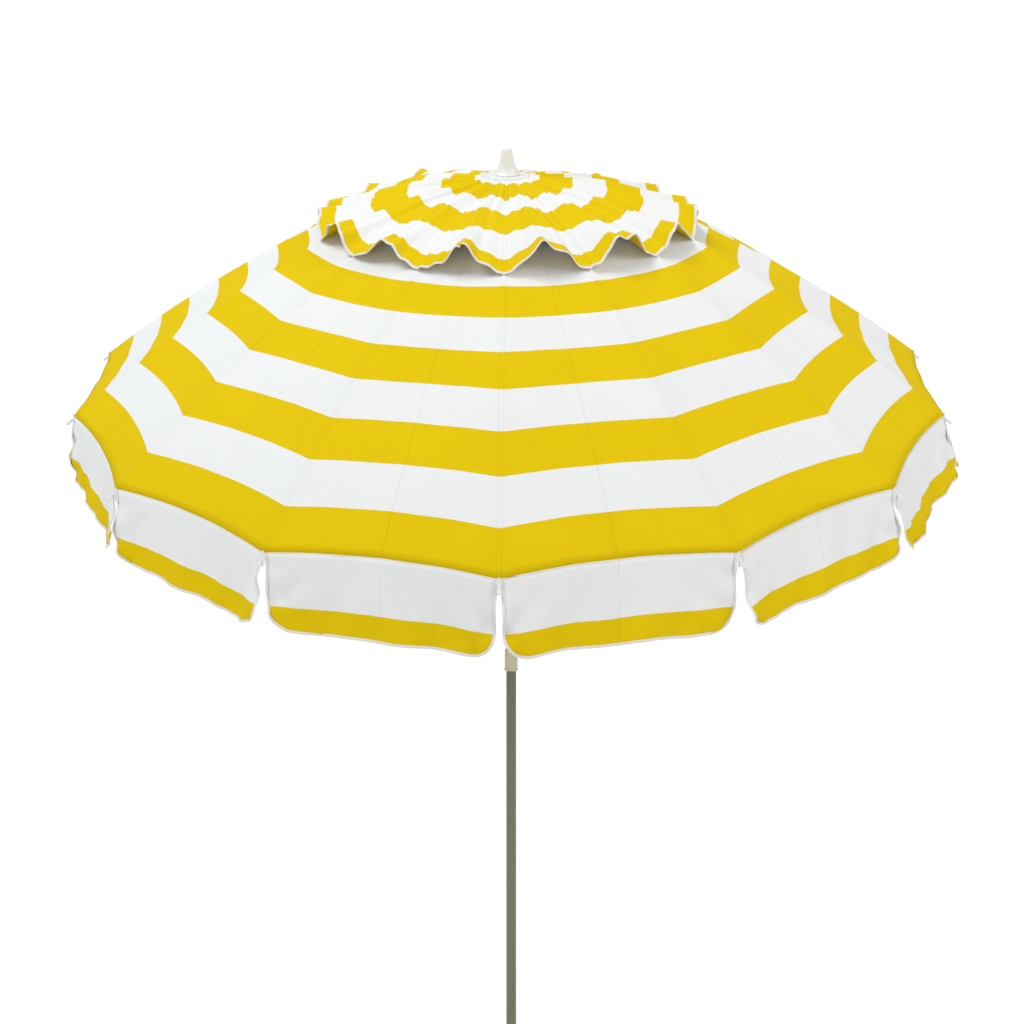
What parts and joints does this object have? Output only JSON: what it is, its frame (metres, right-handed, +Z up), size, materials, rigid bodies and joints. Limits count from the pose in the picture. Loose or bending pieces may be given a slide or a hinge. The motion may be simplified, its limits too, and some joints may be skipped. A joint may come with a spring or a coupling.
{
  "type": "beach umbrella",
  "caption": "Open beach umbrella with a striped canopy, hanging valance, ruffled vent cap, hinged ribs and a tilting two-part pole.",
  "frame": {"origin": "the foot of the lower pole, on the pole's axis", "axes": "+Z up along the lower pole; -Y towards the side the canopy leans to, where rib 01 points; +X to the right seen from -Y"},
  "size_m": [2.1178, 1.835, 2.59],
  "materials": {
    "pole_metal": "brushed, greyed",
    "ivory_plastic": "moulded, ribbed",
    "white_plastic": "moulded",
    "knuckle_plastic": "glass-filled nylon",
    "bolt_steel": "zinc plated",
    "rib_fibreglass": "white pultruded rod",
    "cloth_yellow": "plain woven, matt",
    "cloth_white": "plain woven, matt"
  },
  "bodies": {
    "base_pole": {"pole_base_tube": "pole_metal", "pole_collar": "ivory_plastic"},
    "height_pole": {"inner_tube": "pole_metal", "knuckle_lower": "knuckle_plastic", "tilt_bolt": "bolt_steel"},
    "head": {"knuckle_upper": "knuckle_plastic", "upper_pole": "pole_metal", "crown": "white_plastic", "finial": "white_plastic", "canopy": "cloth_yellow", "vent_cap": "cloth_white"},
    "runner": {"runner": "white_plastic"},
    "rib_01": {"rib_01": "rib_fibreglass"},
    "stretcher_01": {"stretcher_01": "rib_fibreglass"},
    "valance_01": {"valance_01": "cloth_white"},
    "rib_02": {"rib_02": "rib_fibreglass"},
    "stretcher_02": {"stretcher_02": "rib_fibreglass"},
    "valance_02": {"valance_02": "cloth_white"},
    "rib_03": {"rib_03": "rib_fibreglass"},
    "stretcher_03": {"stretcher_03": "rib_fibreglass"},
    "valance_03": {"valance_03": "cloth_white"},
    "rib_04": {"rib_04": "rib_fibreglass"},
    "stretcher_04": {"stretcher_04": "rib_fibreglass"},
    "valance_04": {"valance_04": "cloth_white"},
    "rib_05": {"rib_05": "rib_fibreglass"},
    "stretcher_05": {"stretcher_05": "rib_fibreglass"},
    "valance_05": {"valance_05": "cloth_white"},
    "rib_06": {"rib_06": "rib_fibreglass"},
    "stretcher_06": {"stretcher_06": "rib_fibreglass"},
    "valance_06": {"valance_06": "cloth_white"},
    "rib_07": {"rib_07": "rib_fibreglass"},
    "stretcher_07": {"stretcher_07": "rib_fibreglass"},
    "valance_07": {"valance_07": "cloth_white"},
    "rib_08": {"rib_08": "rib_fibreglass"},
    "stretcher_08": {"stretcher_08": "rib_fibreglass"},
    "valance_08": {"valance_08": "cloth_white"},
    "rib_09": {"rib_09": "rib_fibreglass"},
    "stretcher_09": {"stretcher_09": "rib_fibreglass"},
    "valance_09": {"valance_09": "cloth_white"},
    "rib_10": {"rib_10": "rib_fibreglass"},
    "stretcher_10": {"stretcher_10": "rib_fibreglass"},
    "valance_10": {"valance_10": "cloth_white"},
    "rib_11": {"rib_11": "rib_fibreglass"},
    "stretcher_11": {"stretcher_11": "rib_fibreglass"},
    "valance_11": {"valance_11": "cloth_white"},
    "rib_12": {"rib_12": "rib_fibreglass"},
    "stretcher_12": {"stretcher_12": "rib_fibreglass"},
    "valance_12": {"valance_12": "cloth_white"},
    "rib_13": {"rib_13": "rib_fibreglass"},
    "stretcher_13": {"stretcher_13": "rib_fibreglass"},
    "valance_13": {"valance_13": "cloth_white"},
    "rib_14": {"rib_14": "rib_fibreglass"},
    "stretcher_14": {"stretcher_14": "rib_fibreglass"},
    "valance_14": {"valance_14": "cloth_white"},
    "rib_15": {"rib_15": "rib_fibreglass"},
    "stretcher_15": {"stretcher_15": "rib_fibreglass"},
    "valance_15": {"valance_15": "cloth_white"},
    "rib_16": {"rib_16": "rib_fibreglass"},
    "stretcher_16": {"stretcher_16": "rib_fibreglass"},
    "valance_16": {"valance_16": "cloth_white"}
  },
  "joints": [
    {"name": "height_slide", "type": "slide", "parent": "base_pole", "child": "height_pole", "axis": [0, 0, 1], "range_m": [0, 0.25]},
    {"name": "tilt", "type": "hinge", "parent": "height_pole", "child": "head", "pos_m": [0, 0, 1.34], "axis": [1, 0, 0], "range_deg": [-30, 0]},
    {"name": "fold", "type": "hinge", "parent": "head", "child": "rib_01", "pos_m": [0, -0.64821, 2.40273], "axis": [1, 0, 0], "range_deg": [0, 64.5]},
    {"name": "stretcher_01_fold", "type": "hinge", "parent": "rib_01", "child": "stretcher_01", "pos_m": [0, -0.98217, 2.07708], "axis": [1, 0, 0], "range_deg": [-129, 0]},
    {"name": "valance_01_hang", "type": "hinge", "parent": "rib_01", "child": "valance_01", "pos_m": [0, -1.31493, 1.54153], "axis": [1, 0, 0], "range_deg": [-64.5, 0], "deforming": ["valance_01"]},
    {"name": "rib_02_fold", "type": "hinge", "parent": "head", "child": "rib_02", "pos_m": [0.01148, -0.64623, 2.40388], "axis": [0.9239, 0.3314, 0.1913], "range_deg": [0, 64.5]},
    {"name": "stretcher_02_fold", "type": "hinge", "parent": "rib_02", "child": "stretcher_02", "pos_m": [0.18447, -0.95039, 2.09543], "axis": [0.9239, 0.3314, 0.1913], "range_deg": [-129, 0]},
    {"name": "valance_02_hang", "type": "hinge", "parent": "rib_02", "child": "valance_02", "pos_m": [0.39722, -1.24651, 1.58104], "axis": [0.9239, 0.3314, 0.1913], "range_deg": [-64.5, 0], "deforming": ["valance_02"]},
    {"name": "rib_03_fold", "type": "hinge", "parent": "head", "child": "rib_03", "pos_m": [0.02121, -0.6406, 2.40713], "axis": [0.7071, 0.6124, 0.3536], "range_deg": [0, 64.5]},
    {"name": "stretcher_03_fold", "type": "hinge", "parent": "rib_03", "child": "stretcher_03", "pos_m": [0.34085, -0.8599, 2.14768], "axis": [0.7071, 0.6124, 0.3536], "range_deg": [-129, 0]},
    {"name": "valance_03_hang", "type": "hinge", "parent": "rib_03", "child": "valance_03", "pos_m": [0.73398, -1.05164, 1.69355], "axis": [0.7071, 0.6124, 0.3536], "range_deg": [-64.5, 0], "deforming": ["valance_03"]},
    {"name": "rib_04_fold", "type": "hinge", "parent": "head", "child": "rib_04", "pos_m": [0.02772, -0.63217, 2.41199], "axis": [0.3827, 0.8001, 0.4619], "range_deg": [0, 64.5]},
    {"name": "stretcher_04_fold", "type": "hinge", "parent": "rib_04", "child": "stretcher_04", "pos_m": [0.44535, -0.72446, 2.22587], "axis": [0.3827, 0.8001, 0.4619], "range_deg": [-129, 0]},
    {"name": "valance_04_hang", "type": "hinge", "parent": "rib_04", "child": "valance_04", "pos_m": [0.95899, -0.76001, 1.86192], "axis": [0.3827, 0.8001, 0.4619], "range_deg": [-64.5, 0], "deforming": ["valance_04"]},
    {"name": "rib_05_fold", "type": "hinge", "parent": "head", "child": "rib_05", "pos_m": [0.03, -0.62223, 2.41773], "axis": [0, 0.866, 0.5], "range_deg": [0, 64.5]},
    {"name": "stretcher_05_fold", "type": "hinge", "parent": "rib_05", "child": "stretcher_05", "pos_m": [0.48204, -0.56471, 2.3181], "axis": [0, 0.866, 0.5], "range_deg": [-129, 0]},
    {"name": "valance_05_hang", "type": "hinge", "parent": "rib_05", "child": "valance_05", "pos_m": [1.038, -0.416, 2.06053], "axis": [0, 0.866, 0.5], "range_deg": [-64.5, 0], "deforming": ["valance_05"]},
    {"name": "rib_06_fold", "type": "hinge", "parent": "head", "child": "rib_06", "pos_m": [0.02772, -0.61229, 2.42347], "axis": [-0.3827, 0.8001, 0.4619], "range_deg": [0, 64.5]},
    {"name": "stretcher_06_fold", "type": "hinge", "parent": "rib_06", "child": "stretcher_06", "pos_m": [0.44535, -0.40495, 2.41034], "axis": [-0.3827, 0.8001, 0.4619], "range_deg": [-129, 0]},
    {"name": "valance_06_hang", "type": "hinge", "parent": "rib_06", "child": "valance_06", "pos_m": [0.95899, -0.07199, 2.25915], "axis": [-0.3827, 0.8001, 0.4619], "range_deg": [-76.96, 0], "deforming": ["valance_06"]},
    {"name": "rib_07_fold", "type": "hinge", "parent": "head", "child": "rib_07", "pos_m": [0.02121, -0.60386, 2.42834], "axis": [-0.7071, 0.6124, 0.3536], "range_deg": [0, 64.5]},
    {"name": "stretcher_07_fold", "type": "hinge", "parent": "rib_07", "child": "stretcher_07", "pos_m": [0.34085, -0.26952, 2.48853], "axis": [-0.7071, 0.6124, 0.3536], "range_deg": [-129, 0]},
    {"name": "valance_07_hang", "type": "hinge", "parent": "rib_07", "child": "valance_07", "pos_m": [0.73398, 0.21964, 2.42752], "axis": [-0.7071, 0.6124, 0.3536], "range_deg": [-86.71, 0], "deforming": ["valance_07"]},
    {"name": "rib_08_fold", "type": "hinge", "parent": "head", "child": "rib_08", "pos_m": [0.01148, -0.59823, 2.43159], "axis": [-0.9239, 0.3314, 0.1913], "range_deg": [0, 64.5]},
    {"name": "stretcher_08_fold", "type": "hinge", "parent": "rib_08", "child": "stretcher_08", "pos_m": [0.18447, -0.17903, 2.54078], "axis": [-0.9239, 0.3314, 0.1913], "range_deg": [-129, 0]},
    {"name": "valance_08_hang", "type": "hinge", "parent": "rib_08", "child": "valance_08", "pos_m": [0.39722, 0.41451, 2.54003], "axis": [-0.9239, 0.3314, 0.1913], "range_deg": [-92.58, 0], "deforming": ["valance_08"]},
    {"name": "rib_09_fold", "type": "hinge", "parent": "head", "child": "rib_09", "pos_m": [0, -0.59625, 2.43273], "axis": [-1, 0, 0], "range_deg": [0, 64.5]},
    {"name": "stretcher_09_fold", "type": "hinge", "parent": "rib_09", "child": "stretcher_09", "pos_m": [0, -0.14725, 2.55912], "axis": [-1, 0, 0], "range_deg": [-129, 0]},
    {"name": "valance_09_hang", "type": "hinge", "parent": "rib_09", "child": "valance_09", "pos_m": [0, 0.48293, 2.57953], "axis": [-1, 0, 0], "range_deg": [-94.5, 0], "deforming": ["valance_09"]},
    {"name": "rib_10_fold", "type": "hinge", "parent": "head", "child": "rib_10", "pos_m": [-0.01148, -0.59823, 2.43159], "axis": [-0.9239, -0.3314, -0.1913], "range_deg": [0, 64.5]},
    {"name": "stretcher_10_fold", "type": "hinge", "parent": "rib_10", "child": "stretcher_10", "pos_m": [-0.18447, -0.17903, 2.54078], "axis": [-0.9239, -0.3314, -0.1913], "range_deg": [-129, 0]},
    {"name": "valance_10_hang", "type": "hinge", "parent": "rib_10", "child": "valance_10", "pos_m": [-0.39722, 0.41451, 2.54003], "axis": [-0.9239, -0.3314, -0.1913], "range_deg": [-92.58, 0], "deforming": ["valance_10"]},
    {"name": "rib_11_fold", "type": "hinge", "parent": "head", "child": "rib_11", "pos_m": [-0.02121, -0.60386, 2.42834], "axis": [-0.7071, -0.6124, -0.3536], "range_deg": [0, 64.5]},
    {"name": "stretcher_11_fold", "type": "hinge", "parent": "rib_11", "child": "stretcher_11", "pos_m": [-0.34085, -0.26952, 2.48853], "axis": [-0.7071, -0.6124, -0.3536], "range_deg": [-129, 0]},
    {"name": "valance_11_hang", "type": "hinge", "parent": "rib_11", "child": "valance_11", "pos_m": [-0.73398, 0.21964, 2.42752], "axis": [-0.7071, -0.6124, -0.3536], "range_deg": [-86.71, 0], "deforming": ["valance_11"]},
    {"name": "rib_12_fold", "type": "hinge", "parent": "head", "child": "rib_12", "pos_m": [-0.02772, -0.61229, 2.42347], "axis": [-0.3827, -0.8001, -0.4619], "range_deg": [0, 64.5]},
    {"name": "stretcher_12_fold", "type": "hinge", "parent": "rib_12", "child": "stretcher_12", "pos_m": [-0.44535, -0.40495, 2.41034], "axis": [-0.3827, -0.8001, -0.4619], "range_deg": [-129, 0]},
    {"name": "valance_12_hang", "type": "hinge", "parent": "rib_12", "child": "valance_12", "pos_m": [-0.95899, -0.07199, 2.25915], "axis": [-0.3827, -0.8001, -0.4619], "range_deg": [-76.96, 0], "deforming": ["valance_12"]},
    {"name": "rib_13_fold", "type": "hinge", "parent": "head", "child": "rib_13", "pos_m": [-0.03, -0.62223, 2.41773], "axis": [0, -0.866, -0.5], "range_deg": [0, 64.5]},
    {"name": "stretcher_13_fold", "type": "hinge", "parent": "rib_13", "child": "stretcher_13", "pos_m": [-0.48204, -0.56471, 2.3181], "axis": [0, -0.866, -0.5], "range_deg": [-129, 0]},
    {"name": "valance_13_hang", "type": "hinge", "parent": "rib_13", "child": "valance_13", "pos_m": [-1.038, -0.416, 2.06053], "axis": [0, -0.866, -0.5], "range_deg": [-64.5, 0], "deforming": ["valance_13"]},
    {"name": "rib_14_fold", "type": "hinge", "parent": "head", "child": "rib_14", "pos_m": [-0.02772, -0.63217, 2.41199], "axis": [0.3827, -0.8001, -0.4619], "range_deg": [0, 64.5]},
    {"name": "stretcher_14_fold", "type": "hinge", "parent": "rib_14", "child": "stretcher_14", "pos_m": [-0.44535, -0.72446, 2.22587], "axis": [0.3827, -0.8001, -0.4619], "range_deg": [-129, 0]},
    {"name": "valance_14_hang", "type": "hinge", "parent": "rib_14", "child": "valance_14", "pos_m": [-0.95899, -0.76001, 1.86192], "axis": [0.3827, -0.8001, -0.4619], "range_deg": [-64.5, 0], "deforming": ["valance_14"]},
    {"name": "rib_15_fold", "type": "hinge", "parent": "head", "child": "rib_15", "pos_m": [-0.02121, -0.6406, 2.40713], "axis": [0.7071, -0.6124, -0.3536], "range_deg": [0, 64.5]},
    {"name": "stretcher_15_fold", "type": "hinge", "parent": "rib_15", "child": "stretcher_15", "pos_m": [-0.34085, -0.8599, 2.14768], "axis": [0.7071, -0.6124, -0.3536], "range_deg": [-129, 0]},
    {"name": "valance_15_hang", "type": "hinge", "parent": "rib_15", "child": "valance_15", "pos_m": [-0.73398, -1.05164, 1.69355], "axis": [0.7071, -0.6124, -0.3536], "range_deg": [-64.5, 0], "deforming": ["valance_15"]},
    {"name": "rib_16_fold", "type": "hinge", "parent": "head", "child": "rib_16", "pos_m": [-0.01148, -0.64623, 2.40388], "axis": [0.9239, -0.3314, -0.1913], "range_deg": [0, 64.5]},
    {"name": "stretcher_16_fold", "type": "hinge", "parent": "rib_16", "child": "stretcher_16", "pos_m": [-0.18447, -0.95039, 2.09543], "axis": [0.9239, -0.3314, -0.1913], "range_deg": [-129, 0]},
    {"name": "valance_16_hang", "type": "hinge", "parent": "rib_16", "child": "valance_16", "pos_m": [-0.39722, -1.24651, 1.58104], "axis": [0.9239, -0.3314, -0.1913], "range_deg": [-64.5, 0], "deforming": ["valance_16"]},
    {"name": "runner_slide_link", "type": "hinge", "parent": "stretcher_01", "child": "runner", "pos_m": [0, -0.53317, 2.20347], "axis": [1, 0, 0], "range_deg": [0, 64.5]}
  ],
  "couplings": [
    {"joint": "stretcher_01_fold", "follows": "fold", "ratio": -2},
    {"joint": "valance_01_hang", "follows": "fold", "ratio": -1},
    {"joint": "rib_02_fold", "follows": "fold", "ratio": 1},
    {"joint": "stretcher_02_fold", "follows": "fold", "ratio": -2},
    {"joint": "valance_02_hang", "follows": "fold", "ratio": -1},
    {"joint": "rib_03_fold", "follows": "fold", "ratio": 1},
    {"joint": "stretcher_03_fold", "follows": "fold", "ratio": -2},
    {"joint": "valance_03_hang", "follows": "fold", "ratio": -1},
    {"joint": "rib_04_fold", "follows": "fold", "ratio": 1},
    {"joint": "stretcher_04_fold", "follows": "fold", "ratio": -2},
    {"joint": "valance_04_hang", "follows": "fold", "ratio": -1},
    {"joint": "rib_05_fold", "follows": "fold", "ratio": 1},
    {"joint": "stretcher_05_fold", "follows": "fold", "ratio": -2},
    {"joint": "valance_05_hang", "follows": "fold", "ratio": -1},
    {"joint": "rib_06_fold", "follows": "fold", "ratio": 1},
    {"joint": "stretcher_06_fold", "follows": "fold", "ratio": -2},
    {"joint": "valance_06_hang", "follows": "fold", "ratio": -1.1932},
    {"joint": "rib_07_fold", "follows": "fold", "ratio": 1},
    {"joint": "stretcher_07_fold", "follows": "fold", "ratio": -2},
    {"joint": "valance_07_hang", "follows": "fold", "ratio": -1.3443},
    {"joint": "rib_08_fold", "follows": "fold", "ratio": 1},
    {"joint": "stretcher_08_fold", "follows": "fold", "ratio": -2},
    {"joint": "valance_08_hang", "follows": "fold", "ratio": -1.4353},
    {"joint": "rib_09_fold", "follows": "fold", "ratio": 1},
    {"joint": "stretcher_09_fold", "follows": "fold", "ratio": -2},
    {"joint": "valance_09_hang", "follows": "fold", "ratio": -1.4651},
    {"joint": "rib_10_fold", "follows": "fold", "ratio": 1},
    {"joint": "stretcher_10_fold", "follows": "fold", "ratio": -2},
    {"joint": "valance_10_hang", "follows": "fold", "ratio": -1.4353},
    {"joint": "rib_11_fold", "follows": "fold", "ratio": 1},
    {"joint": "stretcher_11_fold", "follows": "fold", "ratio": -2},
    {"joint": "valance_11_hang", "follows": "fold", "ratio": -1.3443},
    {"joint": "rib_12_fold", "follows": "fold", "ratio": 1},
    {"joint": "stretcher_12_fold", "follows": "fold", "ratio": -2},
    {"joint": "valance_12_hang", "follows": "fold", "ratio": -1.1932},
    {"joint": "rib_13_fold", "follows": "fold", "ratio": 1},
    {"joint": "stretcher_13_fold", "follows": "fold", "ratio": -2},
    {"joint": "valance_13_hang", "follows": "fold", "ratio": -1},
    {"joint": "rib_14_fold", "follows": "fold", "ratio": 1},
    {"joint": "stretcher_14_fold", "follows": "fold", "ratio": -2},
    {"joint": "valance_14_hang", "follows": "fold", "ratio": -1},
    {"joint": "rib_15_fold", "follows": "fold", "ratio": 1},
    {"joint": "stretcher_15_fold", "follows": "fold", "ratio": -2},
    {"joint": "valance_15_hang", "follows": "fold", "ratio": -1},
    {"joint": "rib_16_fold", "follows": "fold", "ratio": 1},
    {"joint": "stretcher_16_fold", "follows": "fold", "ratio": -2},
    {"joint": "valance_16_hang", "follows": "fold", "ratio": -1},
    {"joint": "runner_slide_link", "follows": "fold", "ratio": 1}
  ]
}
